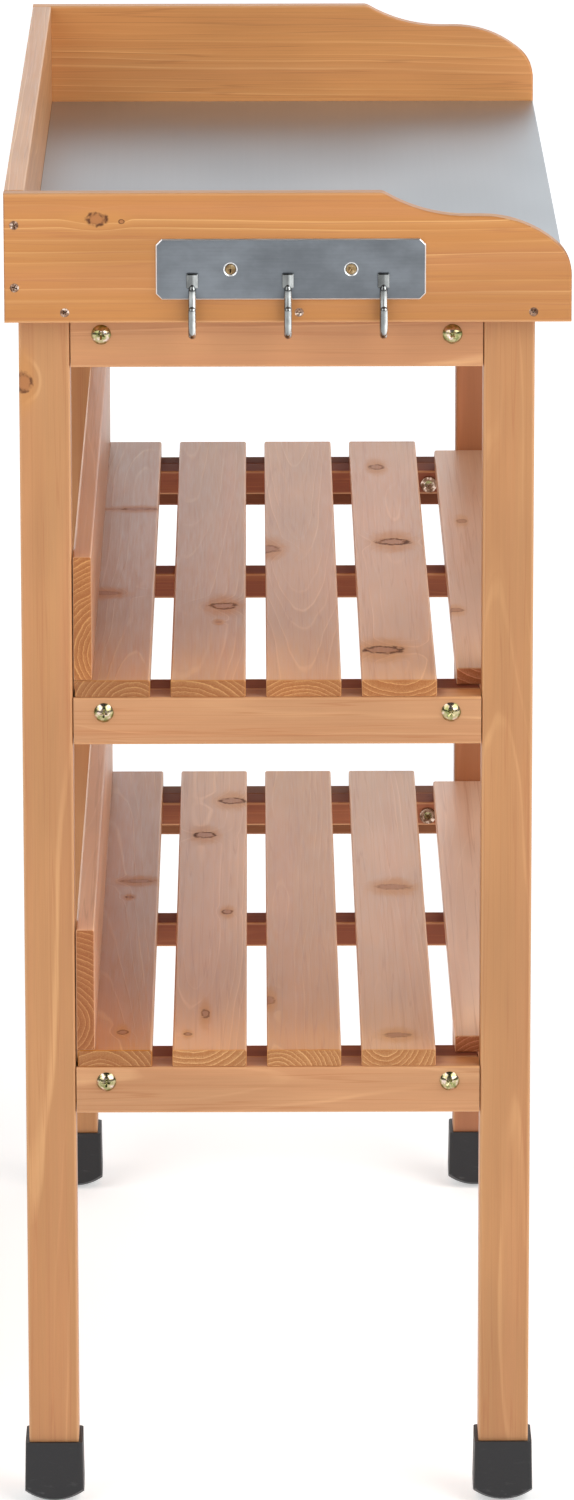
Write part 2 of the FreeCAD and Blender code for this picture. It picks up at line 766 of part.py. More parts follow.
def hook(label, y):
    """Round wire bent to a J, with its upper end pressed flat against the plate."""
    wire = size["hook_wire"] / 2
    bend = size["hook_bend_radius"]
    start = -size["hook_tab_tall"] - 2.0
    low = -size["hook_drop"]
    body = doc.addObject("PartDesign::Body", label + "_body")
    route = sketch_on(body, label + "_route", "XZ_Plane")
    route.addGeometry([
        Part.LineSegment(vector(-wire, start, 0), vector(-wire, low, 0)),
        Part.Arc(
            vector(-wire, low, 0), vector(-wire - bend, low - bend, 0),
            vector(-wire - 2 * bend, low, 0),
        ),
        Part.LineSegment(
            vector(-wire - 2 * bend, low, 0),
            vector(-wire - 2 * bend, low + size["hook_tip_rise"], 0),
        ),
    ], False)
    ring = sketch_on(body, label + "_ring", "XY_Plane")
    ring.AttachmentOffset.Base = vector(0, 0, start)
    ring.addGeometry(Part.Circle(vector(-wire, 0, 0), vector(0, 0, 1), wire), False)
    radius = ring.addConstraint(Sketcher.Constraint("Radius", 0, wire))
    ring.setExpression("Constraints[%d]" % radius, "Sizes.hook_wire / 2")
    rod = body.newObject("PartDesign::AdditivePipe", label + "_rod")
    rod.Profile = ring
    rod.Spine = (route, [])
    doc.recompute()
    tab = box(
        label + "_tab", "Sizes.hook_tab_thick", "Sizes.hook_tab_wide", "Sizes.hook_tab_tall",
        (-size["hook_tab_thick"], -size["hook_tab_wide"] / 2, -size["hook_tab_tall"]),
    )
    rounded = eased(tab, 0.9, lambda edge: edge.CenterOfMass.x < -0.5)
    shoulder = doc.addObject("Part::Ellipsoid", label + "_shoulder")
    bind(shoulder, Radius1="Sizes.hook_shoulder", Radius2="Sizes.hook_wire / 2",
         Radius3="Sizes.hook_wire / 2")
    shoulder.Placement.Base = vector(-wire, 0, start)
    tip = doc.addObject("Part::Sphere", label + "_tip")
    tip.setExpression("Radius", "Sizes.hook_wire / 2")
    tip.Placement.Base = vector(-wire - 2 * bend, 0, low + size["hook_tip_rise"])
    upper = joined(label + "_upper", rounded, shoulder)
    bent = joined(label + "_bent", body, upper)
    piece = joined(label, bent, tip)
    piece.Placement.Base = vector(PLATE_FACE, y, HOOK_TOP)
    keep(piece, label)


hook_plate()
for name, step in (("back", 1), ("middle", 0), ("front", -1)):
    hook("hook_" + name, step * size["hook_pitch"])


# ---------------------------------------------------------------------------------------------
# Fasteners: one model of each kind, then a linked copy at each of its places.

def cross_recess(name, width, depth, top):
    """The tool for two crossed slots that narrow to a point, as the tip of a driver does."""
    slot = width * 0.19
    above = 1.0
    one = doc.addObject("Part::Box", name + "_slot_a")
    one.Length, one.Width, one.Height = width + above, slot, depth + above
    one.Placement.Base = vector(-(width + above) / 2, -slot / 2, top - above)
    two = doc.addObject("Part::Box", name + "_slot_b")
    two.Length, two.Width, two.Height = slot, width + above, depth + above
    two.Placement.Base = vector(-slot / 2, -(width + above) / 2, top - above)
    point = doc.addObject("Part::Cone", name + "_point")
    point.Radius1 = width / 2 * (depth + above) / depth
    point.Radius2 = 0
    point.Height = depth + above
    point.Placement.Base = vector(0, 0, top - above)
    tool = doc.addObject("Part::Common", name + "_recess")
    tool.Base = merged(name + "_cross", [one, two])
    tool.Tool = point
    return [tool]


def rod(name, radius, length, start=0.0):
    """A plain round bar along +Z."""
    bar = doc.addObject("Part::Cylinder", name)
    bar.Radius = radius
    bar.Height = length
    bar.Placement.Base = vector(0, 0, start)
    return bar


def bolt_model():
    """A low domed head under a cross recess, on a shank that runs along +Z."""
    tall = size["bolt_head_tall"]
    head = rod("bolt_head", size["bolt_head"] / 2, tall, -tall)
    bind(head, Radius="Sizes.bolt_head / 2", Height="Sizes.bolt_head_tall")
    ball = doc.addObject("Part::Sphere", "bolt_ball")
    ball.Radius = BOLT_DOME
    ball.Placement.Base = vector(0, 0, BOLT_DOME - tall)
    dome = doc.addObject("Part::Common", "bolt_dome")
    dome.Base = head
    dome.Tool = ball
    shank = rod("bolt_shank", size["bolt_shank"] / 2, size["bolt_long"])
    bind(shank, Radius="Sizes.bolt_shank / 2", Height="Sizes.bolt_long")
    whole = joined("bolt_whole", dome, shank)
    return taken("bolt_model", whole, cross_recess("bolt", 7.4, 2.9, -tall))


def insert_model():
    """A flanged sleeve with a clear bore."""
    sleeve = rod("insert_sleeve", size["insert_outer"] / 2, size["insert_long"])
    bind(sleeve, Radius="Sizes.insert_outer / 2", Height="Sizes.insert_long")
    thick = size["insert_flange_tall"]
    flange = rod("insert_flange", size["insert_flange"] / 2, thick, -thick)
    bind(flange, Radius="Sizes.insert_flange / 2", Height="Sizes.insert_flange_tall")
    whole = joined("insert_whole", sleeve, eased(flange, 0.5, lambda edge: edge.Closed
                                                 and edge.CenterOfMass.z < -0.5))
    bore = rod("insert_bore", size["bolt_shank"] / 2 + SHANK_PLAY, size["insert_long"] + 10, -5)
    return taken("insert_model", whole, [bore])


def screw_model(kind):
    """A countersunk screw along +Z with a cross recess in its flat head."""
    cone = doc.addObject("Part::Cone", kind.name + "_head")
    cone.Radius1 = kind.head / 2
    cone.Radius2 = kind.shank / 2
    cone.Height = kind.sunk
    shank = rod(kind.name + "_shank", kind.shank / 2, kind.length)
    whole = joined(kind.name + "_whole", cone, shank)
    slots = cross_recess(kind.name, kind.head * 0.7, kind.sunk * 0.8, 0.0)
    return taken(kind.name + "_model", whole, slots)


def nail_model():
    """A flat headed nail."""
    head = rod("nail_head", 2.2, 0.7, -0.7)
    return joined("nail_model", head, rod("nail_shank", SHEET_NAIL.shank / 2, SHEET_NAIL.length))


models = {
    RAIL_BOLT: bolt_model(),
    INSERT: insert_model(),
    TENON_PIN: rod("pin_model", TENON_PIN.shank / 2, TENON_PIN.length),
    SHEET_NAIL: nail_model(),
}
for kind in (BOARD_SCREW, PANEL_SCREW, SLAT_SCREW, STOP_SCREW, PLATE_SCREW):
    models[kind] = screw_model(kind)
doc.recompute()

# Each screw or bolt of a group has come to rest turned a little further than the one before it.
for group, (kind, spots) in by_group.items():
    copies = []
    for number, (place, direction) in enumerate(spots):
        turned = FreeCAD.Rotation(vector(0, 0, 1), FIRST_TURN + number * NEXT_TURN)
        copy = doc.addObject("App::Link", "%s_%d" % (group, number))
        copy.LinkedObject = models[kind]
        copy.Placement = FreeCAD.Placement(place, along(direction).multiply(turned))
        copies.append(copy)
    keep(bundle(group, copies), group)


# ---------------------------------------------------------------------------------------------
# Check everything, then write one file for each sub-part.

doc.recompute()
for item in doc.Objects:
    if "Invalid" in item.State or "Error" in item.State:
        raise RuntimeError("%s failed: %s" % (item.Name, item.State))
for piece in pieces:
    if piece.Shape.isNull() or not piece.Shape.isValid() or not piece.Shape.Solids:
        raise RuntimeError("%s has no sound shape" % piece.Label)
for piece in pieces:
    piece.Shape.exportStep("parts/%s.step" % piece.Label)
print("%d sub-parts written" % len(pieces))
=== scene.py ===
import math
import random
from collections import namedtuple

import bmesh
import bpy
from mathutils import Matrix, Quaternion, Vector


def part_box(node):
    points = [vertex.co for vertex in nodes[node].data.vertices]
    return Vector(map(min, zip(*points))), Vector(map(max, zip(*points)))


# The look of the potting bench: materials, light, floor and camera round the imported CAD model.
# Metres, +Z up, the front of the bench towards -Y and its left end, which faces the camera,
# towards -X.

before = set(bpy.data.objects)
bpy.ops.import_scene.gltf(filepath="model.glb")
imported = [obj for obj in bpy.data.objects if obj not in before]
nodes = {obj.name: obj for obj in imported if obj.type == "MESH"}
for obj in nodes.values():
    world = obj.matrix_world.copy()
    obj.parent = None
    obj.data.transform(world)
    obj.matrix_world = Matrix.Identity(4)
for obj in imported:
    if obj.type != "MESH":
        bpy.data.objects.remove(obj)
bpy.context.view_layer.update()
scene = bpy.context.scene

# The axes by number.
X, Y, Z = range(3)


def box_of(node):
    """The middle of a CAD node's box, and half its size."""
    low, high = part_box(node)
    return (low + high) / 2, (high - low) / 2


# ---------------------------------------------------------------------------------------------
# Helpers for colours, shader nodes and materials.

def srgb(red, green, blue):
    """A screen colour, 0 to 255, as the linear colour that a shader takes."""
    def linear(value):
        value /= 255.0
        return value / 12.92 if value <= 0.04045 else ((value + 0.055) / 1.055) ** 2.4
    return (linear(red), linear(green), linear(blue), 1.0)


def put(tree, kind, inputs=None, **settings):
    """Adds a node, with its settings and its inputs: plain values or other nodes' sockets."""
    node = tree.nodes.new(kind)
    for name, value in settings.items():
        setattr(node, name, value)
    for name, value in (inputs or {}).items():
        if isinstance(value, bpy.types.NodeSocket):
            tree.links.new(value, node.inputs[name])
        else:
            node.inputs[name].default_value = value
    return node


def calc(tree, operation, *values):
    """One step of arithmetic."""
    return put(tree, "ShaderNodeMath", dict(enumerate(values)), operation=operation).outputs[0]


def total(tree, first, *rest):
    """Values added up."""
    for value in rest:
        first = calc(tree, "ADD", first, value)
    return first


def product(tree, first, *rest):
    """Values multiplied together."""
    for value in rest:
        first = calc(tree, "MULTIPLY", first, value)
    return first


def vector_calc(tree, operation, *values):
    """One step of vector arithmetic."""
    node = put(tree, "ShaderNodeVectorMath", dict(enumerate(values)), operation=operation)
    return node.outputs["Value" if operation in ("LENGTH", "DOT_PRODUCT") else "Vector"]


def split(tree, vector):
    """A vector's parts along x, y and z."""
    return put(tree, "ShaderNodeSeparateXYZ", {0: vector}).outputs


def join(tree, *parts):
    """A vector from its parts. Those left out are 0."""
    return put(tree, "ShaderNodeCombineXYZ", dict(enumerate(parts))).outputs[0]


def tinted(tree, level, green=None, blue=None):
    """A grey, or a tint of it where its green and blue are its red times a factor."""
    parts = [level]
    for factor in (green, blue):
        parts.append(level if factor is None else calc(tree, "MULTIPLY", level, factor))
    return put(tree, "ShaderNodeCombineColor", dict(enumerate(parts))).outputs[0]


def blend(tree, factor, first, second, mode="MIX"):
    """Two colours mixed."""
    node = put(
        tree, "ShaderNodeMix", {0: factor, 6: first, 7: second},
        data_type="RGBA", blend_type=mode,
    )
    return node.outputs[2]


def spread(tree, value, low, high, to_low=0.0, to_high=1.0):
    """The value eased from one range to another and held at its ends."""
    node = put(
        tree, "ShaderNodeMapRange", {0: value, 1: low, 2: high, 3: to_low, 4: to_high},
        interpolation_type="SMOOTHSTEP",
    )
    return node.outputs[0]


def noise(tree, place, stretch, seed, detail=2.0, roughness=0.5):
    """Noise from 0 to 1 that changes at the given rate per metre along each axis."""
    scaled = vector_calc(tree, "MULTIPLY", place, stretch)
    node = put(
        tree, "ShaderNodeTexNoise",
        {"Vector": scaled, "W": seed, "Scale": 1.0, "Detail": detail, "Roughness": roughness},
        noise_dimensions="4D",
    )
    return node.outputs[0]


def mottle(tree, cloud, low, high):
    """Noise spread over its usual range, 0.3 to 0.7, from one value to another."""
    return spread(tree, cloud, 0.3, 0.7, low, high)


def about_zero(tree, value, amount):
    """Noise from 0 to 1 turned into a push either way by up to half the amount."""
    return calc(tree, "MULTIPLY", calc(tree, "SUBTRACT", value, 0.5), amount)


def ramp(tree, value, stops):
    """A value run through grey stops, each a position and a level."""
    node = put(tree, "ShaderNodeValToRGB", {0: value})
    band = node.color_ramp
    while len(band.elements) < len(stops):
        band.elements.new(0.5)
    for element, (position, level) in zip(band.elements, stops):
        element.position = position
        element.color = (level, level, level, 1.0)
    return node.outputs[0]


def object_place(tree):
    """The point being shaded, in the bench's own frame."""
    return put(tree, "ShaderNodeTexCoord").outputs["Object"]


def face_turn(tree, axis):
    """How squarely a face looks along an axis: 1 when it does, 0 when it lies along it."""
    normal = put(tree, "ShaderNodeNewGeometry").outputs["Normal"]
    return calc(tree, "ABSOLUTE", vector_calc(tree, "DOT_PRODUCT", normal, axis))


def new_material(name):
    """An empty material with its output and a Principled shader joined up."""
    material = bpy.data.materials.new(name)
    material.use_nodes = True
    tree = material.node_tree
    tree.nodes.clear()
    output = put(tree, "ShaderNodeOutputMaterial")
    shader = put(tree, "ShaderNodeBsdfPrincipled")
    tree.links.new(shader.outputs[0], output.inputs[0])
    return material, tree, shader


def wire(tree, shader, colour, rough=None, height=None, depth=0.0003, strength=0.3):
    """Feeds a Principled shader with a colour, a roughness and a bump."""
    tree.links.new(colour, shader.inputs["Base Color"])
    if rough is not None:
        tree.links.new(rough, shader.inputs["Roughness"])
    if height is not None:
        bump = put(
            tree, "ShaderNodeBump", {"Height": height, "Distance": depth, "Strength": strength},
        )
        tree.links.new(bump.outputs[0], shader.inputs["Normal"])


def dress(material, names):
    """Gives CAD nodes their material."""
    for name in names:
        slots = nodes[name].data.materials
        slots.clear()
        slots.append(material)


def family(*starts):
    """The names of the CAD nodes whose names start with one of these."""
    return [name for name in nodes if name.startswith(starts)]


# ---------------------------------------------------------------------------------------------
# Wood. The grain is a solid texture: growth rings round a pith that leans and wanders along the
# board, so a face shows long lines and an end shows arcs of the same rings. The stain has sunk
# into the soft early wood, which leaves each ring's hard late wood as a thin pale line.

# Darker streaks, warmer patches, edges paler from wear and from a painted highlight, the two woods
# of an end, and what pale boards are washed with, which on the front slats is a painted sheen.
STREAK = srgb(166, 100, 58)
BLUSH = srgb(192, 124, 84)
WORN_HIGHLIGHT = srgb(224, 172, 124)
END_EARLY = srgb(164, 98, 46)
END_LATE = srgb(230, 174, 112)
PALE = srgb(206, 178, 160)

# The parts of a knot.
KNOT_RIM = srgb(76, 34, 12)
KNOT_HEART = srgb(160, 98, 52)
KNOT_HALO = srgb(200, 138, 72)

# Factors on the colour of some ends, for the painted warm light on the slats' left ends and on the
# open rail tops, and for the painted shade on the rails' inner and upper faces.
SHADED_END = (1.20, 1.10, 1.50, 1.0)
PALE_END = (1.0, 1.12, 1.30, 1.0)
WARM_LIGHT = (1.18, 1.13, 0.92, 1.0)
INNER_SHADE = (0.47, 0.34, 0.40, 1.0)

# How much late wood there is across one growth ring, from its first wood to its last.
RING_PROFILE = (
    (0.0, 0.16), (0.08, 0.0), (0.55, 0.18), (0.84, 0.34), (0.90, 1.0), (0.945, 0.95), (1.0, 0.16),
)

FIR_INPUTS = {
    "Vector": ("Place", "Half", "Pith", "Lean"),
    "Color": ("Early", "Late", "Ends"),
    "Float": (
        "Ring", "Seed", "Lines", "Streaks", "Rough", "End", "WarmLight", "Inner",
        "Rim", "Heart", "Halo", "Push",
    ),
}
FIR_OUTPUTS = {"Color": ("Colour",), "Float": ("Roughness", "Height")}


def pith_distance(tree, given, other):
    """The distance from the pith, which leans and wanders slowly along the board."""
    place = given["Place"]
    lean = put(
        tree, "ShaderNodeVectorMath", {0: given["Lean"], "Scale": split(tree, place)[0]},
        operation="SCALE",
    ).outputs[0]
    wander = join(
        tree, 0.0,
        about_zero(tree, noise(tree, place, (2.4, 0, 0), given["Seed"], 1.0), 0.016),
        about_zero(tree, noise(tree, place, (3.1, 0, 0), other, 1.0), 0.012),
    )
    offset = vector_calc(tree, "MULTIPLY", place, (0, 1, 1))
    offset = vector_calc(tree, "SUBTRACT", offset, given["Pith"])
    offset = vector_calc(tree, "ADD", offset, lean)
    offset = vector_calc(tree, "ADD", offset, wander)
    ripple = about_zero(tree, noise(tree, place, (7, 55, 55), given["Seed"], 2.0), 0.0034)
    # A sawn end shows the rings less cleanly than a planed face.
    ragged = about_zero(tree, noise(tree, place, (60, 260, 420), other, 3.0, 0.65), 0.0018)
    ragged = calc(tree, "MULTIPLY", ragged, given["End"])
    return total(tree, vector_calc(tree, "LENGTH", offset), ripple, given["Push"], ragged)


def growth_rings(tree, given, other):
    """How much late wood there is at a point, and how strongly its line shows on a face."""
    radius = pith_distance(tree, given, other)
    count = calc(tree, "DIVIDE", radius, given["Ring"])
    uneven = noise(tree, join(tree, count), (0.55, 0, 0), given["Seed"], 1.0)
    count = calc(tree, "ADD", count, about_zero(tree, uneven, 1.7))
    late = ramp(tree, calc(tree, "FRACT", count), RING_PROFILE)
    which = join(tree, calc(tree, "FLOOR", count))
    bold = spread(tree, noise(tree, which, (1.37, 0, 0), other, 0.0), 0.35, 0.62, 0.25, 1.0)
    patchy = noise(tree, given["Place"], (4, 60, 60), other, 2.0)
    patchy = spread(tree, patchy, 0.36, 0.64, 0.12, 1.0)
    return late, product(tree, patchy, bold, given["Lines"], late)


def face_colour(tree, given, other, lines, shade):
    """A face along the grain: ring lines, streaks, hair lines, warm patches, edges paler from wear
    and from a painted highlight, and painted light and shade.
    """
    place = given["Place"]
    colour = blend(tree, lines, given["Early"], given["Late"])
    streak = spread(tree, noise(tree, place, (3.2, 170, 170), given["Seed"], 3.0, 0.6), 0.48, 0.80)
    colour = blend(tree, calc(tree, "MULTIPLY", streak, given["Streaks"]), colour, STREAK)
    hair = calc(tree, "SUBTRACT", noise(tree, place, (2.2, 170, 170), other, 2.0), 0.5)
    hair = spread(tree, calc(tree, "ABSOLUTE", hair), 0.0, 0.022, 0.30, 0.0)
    colour = blend(tree, hair, colour, STREAK)
    blush = spread(tree, noise(tree, place, (1.8, 42, 42), other, 2.0), 0.44, 0.70, 0.0, 0.30)
    colour = blend(tree, blush, colour, BLUSH)
    colour = blend(tree, 1.0, colour, shade, "MULTIPLY")
    # The eased long edges are paler than the faces: a little wear and a painted highlight.
    apart = vector_calc(tree, "ABSOLUTE", place)
    margin = split(tree, vector_calc(tree, "SUBTRACT", given["Half"], apart))
    arris_wear_and_highlight = spread(tree, calc(tree, "MAXIMUM", margin[1], margin[2]), 0.0003, 0.0022, 0.55, 0.0)
    colour = blend(tree, arris_wear_and_highlight, colour, WORN_HIGHLIGHT)
    # Painted warm light and painted shade, where the board's inputs ask for them.
    colour = blend(tree, given["WarmLight"], colour, WARM_LIGHT, "MULTIPLY")
    return blend(tree, given["Inner"], colour, INNER_SHADE, "MULTIPLY")


def end_colour(tree, given, late, shade):
    """An end across the grain: the rings and the pores."""
    pores = noise(tree, given["Place"], (60, 1500, 1500), given["Seed"], 1.0, 0.7)
    amount = calc(tree, "ADD", calc(tree, "MULTIPLY", late, 0.66), about_zero(tree, pores, 0.60))
    colour = blend(tree, amount, END_EARLY, END_LATE)
    colour = blend(tree, 1.0, colour, shade, "MULTIPLY")
    return blend(tree, 1.0, colour, given["Ends"], "MULTIPLY")


def fir_group():
    """Growth rings, fibres, streaks, knots and end grain of planed fir under its stain, with
    painted light and painted shade where a board's inputs ask for them.
    """
    tree = bpy.data.node_groups.new("fir", "ShaderNodeTree")
    for way, sockets in (("INPUT", FIR_INPUTS), ("OUTPUT", FIR_OUTPUTS)):
        for kind, names in sockets.items():
            for name in names:
                tree.interface.new_socket(name, in_out=way, socket_type="NodeSocket" + kind)
    given = put(tree, "NodeGroupInput").outputs
    # A second seed, so that two layers of noise don't look alike.
    other = calc(tree, "ADD", given["Seed"], 7.3)

    late, lines = growth_rings(tree, given, other)
    fibre = noise(tree, given["Place"], (26, 1000, 1000), given["Seed"], 2.0, 0.6)
    blotch = mottle(tree, noise(tree, given["Place"], (6, 20, 20), given["Seed"]), 0.92, 1.06)
    shade = tinted(tree, calc(tree, "ADD", blotch, about_zero(tree, fibre, 0.16)))
    colour = blend(
        tree, given["End"],
        face_colour(tree, given, other, lines, shade), end_colour(tree, given, late, shade),
    )
    for part, tint in (("Halo", KNOT_HALO), ("Heart", KNOT_HEART), ("Rim", KNOT_RIM)):
        colour = blend(tree, given[part], colour, tint)

    rough = calc(tree, "ADD", about_zero(tree, fibre, 0.24), given["Rough"])
    for part, extra in (("End", 0.25), ("Rim", 0.35), ("Halo", 0.25), ("Inner", 0.35)):
        rough = calc(tree, "ADD", rough, calc(tree, "MULTIPLY", given[part], extra))
    height = calc(
        tree, "ADD", calc(tree, "MULTIPLY", fibre, 0.6), calc(tree, "MULTIPLY", late, 0.4),
    )
    height = calc(tree, "SUBTRACT", height, given["Rim"])
    out = put(tree, "NodeGroupOutput", {"Colour": colour, "Roughness": rough, "Height": height})
    out.is_active_output = True
    return tree


FIR = fir_group()

# Knots that show, on a slat's upper face as x and y or on an upright board's left face as y and
# z: where each one is, its half sizes in metres, and how much of a dark rim it has. One without
# a rim is a smear, where the saw went along a branch.
KNOTS = {
    "slat_mid_1": (
        ((0.157, 0.108), (0.004, 0.016), 0.4),
        ((0.157, 0.132), (0.0015, 0.012), 0.0),
        ((-0.110, 0.131), (0.006, 0.014), 0.2),
    ),
    "slat_mid_2": (
        ((-0.150, 0.045), (0.010, 0.010), 0.7),
        ((-0.198, 0.048), (0.003, 0.003), 0.0),
    ),
    "slat_mid_3": (((0.026, 0.013), (0.012, 0.009), 0.5),),
    "slat_mid_4": (
        ((0.298, -0.070), (0.009, 0.006), 0.6),
        ((0.048, -0.078), (0.011, 0.012), 0.9),
        ((-0.280, -0.066), (0.011, 0.014), 0.9),
    ),
    "slat_mid_5": (
        ((0.115, -0.130), (0.007, 0.004), 0.3),
        ((-0.164, -0.118), (0.006, 0.006), 0.4),
    ),
    "slat_low_1": (
        ((0.070, 0.109), (0.005, 0.012), 0.3),
        ((0.026, 0.115), (0.003, 0.003), 0.5),
        ((-0.321, 0.115), (0.006, 0.004), 0.6),
    ),
    "slat_low_2": (
        ((0.299, 0.040), (0.009, 0.010), 0.8),
        ((0.199, 0.061), (0.009, 0.009), 0.9),
        ((-0.015, 0.043), (0.006, 0.004), 0.6),
        ((-0.277, 0.058), (0.012, 0.003), 0.6),
        ((-0.326, 0.070), (0.004, 0.003), 0.6),
    ),
    "slat_low_3": (((-0.243, 0.013), (0.010, 0.004), 0.3),),
    "slat_low_4": (
        ((0.052, -0.079), (0.008, 0.013), 0.3),
        ((-0.330, -0.075), (0.006, 0.010), 0.3),
    ),
    "leg_back_left": (((0.178, 0.799), (0.0062, 0.0072), 0.8),),
    "side_board_left": (
        ((0.128, 0.9125), (0.0074, 0.0046), 0.9),
        ((0.111, 0.9110), (0.0022, 0.0016), 0.8),
    ),
}

# How deep a knot goes, and the factor on distance along the grain that draws its glow out.
KNOT_DEPTH = 0.010
HALO_DRAW = 0.45


def knot_in_space(node, place, reach):
    """A knot's place and half sizes along x, y and z, from those on its board's face."""
    low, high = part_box(node)
    if node.startswith("slat"):
        return (*place, high.z), (*reach, KNOT_DEPTH)
    return (low.x, *place), (KNOT_DEPTH, *reach)


def knots(tree, seen, node, along, seed, group):
    """Adds a board's knots: a dark broken rim, a brown heart, a glow, and rings bent aside."""
    draw = tuple(HALO_DRAW if axis == along else 1.0 for axis in (X, Y, Z))
    jitter = about_zero(tree, noise(tree, seen, (110, 160, 160), seed, 4.0, 0.65), 1.1)
    broken = spread(tree, noise(tree, seen, (240, 240, 240), seed, 2.0), 0.32, 0.55, 0.12, 1.0)
    together = {}
    for place, reach, edge in KNOTS[node]:
        place, reach = knot_in_space(node, place, reach)
        offset = vector_calc(tree, "SUBTRACT", seen, place)
        offset = vector_calc(tree, "DIVIDE", offset, reach)
        distance = vector_calc(tree, "LENGTH", offset)
        drawn = vector_calc(tree, "LENGTH", vector_calc(tree, "MULTIPLY", offset, draw))
        ragged = calc(tree, "ADD", distance, jitter)
        off_rim = calc(tree, "ABSOLUTE", calc(tree, "SUBTRACT", ragged, 0.85))
        rim = spread(tree, off_rim, 0.04, 0.32, edge, 0.0)
        effects = {
            "Rim": calc(tree, "MULTIPLY", rim, broken),
            "Heart": spread(tree, ragged, 0.55, 1.1, 0.70, 0.0),
            "Halo": spread(tree, calc(tree, "ADD", drawn, jitter), 0.7, 1.9, 0.45, 0.0),
            "Push": spread(tree, distance, 0.2, 3.6, 0.7 * min(reach), 0.0),
        }
        for name, effect in effects.items():
            if name in together:
                how = "ADD" if name == "Push" else "MAXIMUM"
                effect = calc(tree, how, together[name], effect)
            together[name] = effect
    for name, effect in together.items():
        tree.links.new(effect, group.inputs[name])


# Rails whose inner and upper faces are painted darker than their outer ones, and how much darker:
# painted shade where the slats, battens and shelves shade them. The painted shade fades in between
# these two depths under a face, and such a rail is less shiny.
SHADED_INSIDE = {
    "end_rail_mid_right": 1.0, "end_rail_low_right": 0.7,
    "end_rail_mid_left": 0.55, "end_rail_low_left": 0.35,
}
INNER_SKIN = (0.003, 0.001)
UPPER_SKIN = (0.0018, 0.0009)
SHADED_SHINE = 0.15


def shade_inside(tree, parts, node, group):
    """Darkens a rail's inner and upper faces with painted shade, and on a left rail paints warm
    light on the open front of its top.
    """
    middle, half = box_of(node)
    left = node.endswith("_left")
    inward = calc(tree, "MULTIPLY", parts[0], 1.0 if left else -1.0)
    inner = spread(tree, inward, half.x - INNER_SKIN[0], half.x - INNER_SKIN[1])
    upper = spread(tree, parts[2], half.z - UPPER_SKIN[0], half.z - UPPER_SKIN[1])
    if left:
        # The painted shade on the top thins towards its outer edge. In front of the fourth slat,
        # where the shorter front slat leaves the top open, it gives way to painted warm light.
        upper = calc(tree, "MULTIPLY", upper, spread(tree, inward, -0.012, 0.002, 0.25, 1.0))
        slat_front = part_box("slat_mid_4")[0].y - middle.y
        open_light = spread(tree, parts[1], slat_front - 0.0085, slat_front + 0.0005, 1.0, 0.0)
        open_light = calc(tree, "MULTIPLY", open_light, upper)
        upper = calc(tree, "SUBTRACT", upper, open_light)
        tree.links.new(open_light, group.inputs["WarmLight"])
    painted_shade = calc(tree, "MAXIMUM", inner, upper)
    painted_shade = calc(tree, "MULTIPLY", painted_shade, SHADED_INSIDE[node])
    tree.links.new(painted_shade, group.inputs["Inner"])


# The left ends of the slats are painted lighter and warmer, a painted light, which fades out
# between these two places along the bench.
WARM_FROM = -0.34
WARM_TO = -0.20


def wood(node, along, look):
    """Fir for one board, with the grain along an axis of the bench."""
    middle, half = box_of(node)
    order = [along] + [axis for axis in (X, Y, Z) if axis != along]
    material, tree, shader = new_material("fir_" + node)
    group = put(tree, "ShaderNodeGroup", node_tree=FIR)
    group.inputs["Half"].default_value = tuple(half[axis] for axis in order)
    for name, value in look.items():
        group.inputs[name].default_value = value

    seen = object_place(tree)
    parts = split(tree, vector_calc(tree, "SUBTRACT", seen, tuple(middle)))
    tree.links.new(join(tree, *(parts[axis] for axis in order)), group.inputs["Place"])
    grain = tuple(1.0 if axis == along else 0.0 for axis in (X, Y, Z))
    tree.links.new(spread(tree, face_turn(tree, grain), 0.55, 0.85), group.inputs["End"])
    # A slat's left end gets painted warm light.
    if node.startswith("slat"):
        warm = spread(tree, split(tree, seen)[0], WARM_FROM, WARM_TO, 1.0, 0.0)
        tree.links.new(warm, group.inputs["WarmLight"])
    # A rail with painted shade on its inner and upper faces, which is also less shiny.
    if node in SHADED_INSIDE:
        shade_inside(tree, parts, node, group)
        shader.inputs["Specular IOR Level"].default_value = SHADED_SHINE
    if node in KNOTS:
        knots(tree, seen, node, along, look["Seed"], group)
    out = group.outputs
    wire(tree, shader, out["Colour"], out["Roughness"], out["Height"])
    shader.inputs["IOR"].default_value = 1.5
    dress(material, [node])


def toned(colour, amount, pale):
    """A colour made lighter or darker, and washed with some of a pale colour."""
    washed = [part + (wash - part) * pale for part, wash in zip(colour, PALE)]
    return tuple(min(1.0, part * amount) for part in washed[:3]) + (1.0,)


# What each kind of board looks like: the axis of its grain, the width of its rings in metres,
# the early and late wood, how strong its lines and streaks are, its roughness, and which way it
# was sawn.
Timber = namedtuple("Timber", "grain ring early late lines streaks rough sawn")
TIMBERS = {
    "slat": Timber(
        X, 0.0034, srgb(192, 133, 80), srgb(228, 176, 122), 0.65, 0.32, 0.38, "flat"),
    "stop_board": Timber(
        X, 0.0036, srgb(194, 134, 84), srgb(222, 170, 120), 0.60, 0.28, 0.40, "upright"),
    "side_board": Timber(
        Y, 0.0058, srgb(198, 132, 67), srgb(236, 184, 118), 0.80, 0.14, 0.42, "quarter"),
    "back_board": Timber(
        X, 0.0046, srgb(200, 138, 84), srgb(234, 184, 130), 0.95, 0.20, 0.40, "quarter"),
    "leg": Timber(
        Z, 0.0040, srgb(184, 130, 82), srgb(220, 168, 114), 0.90, 0.36, 0.42, "quarter"),
    "end_rail": Timber(
        Y, 0.0034, srgb(192, 136, 90), srgb(224, 172, 122), 0.85, 0.34, 0.42, "quarter"),
    "batten": Timber(
        Y, 0.0036, srgb(132, 70, 46), srgb(164, 100, 66), 0.60, 0.45, 0.75, "quarter"),
    "worktop_panel": Timber(
        X, 0.0070, srgb(196, 136, 84), srgb(222, 168, 118), 0.60, 0.30, 0.50, "flat"),
}
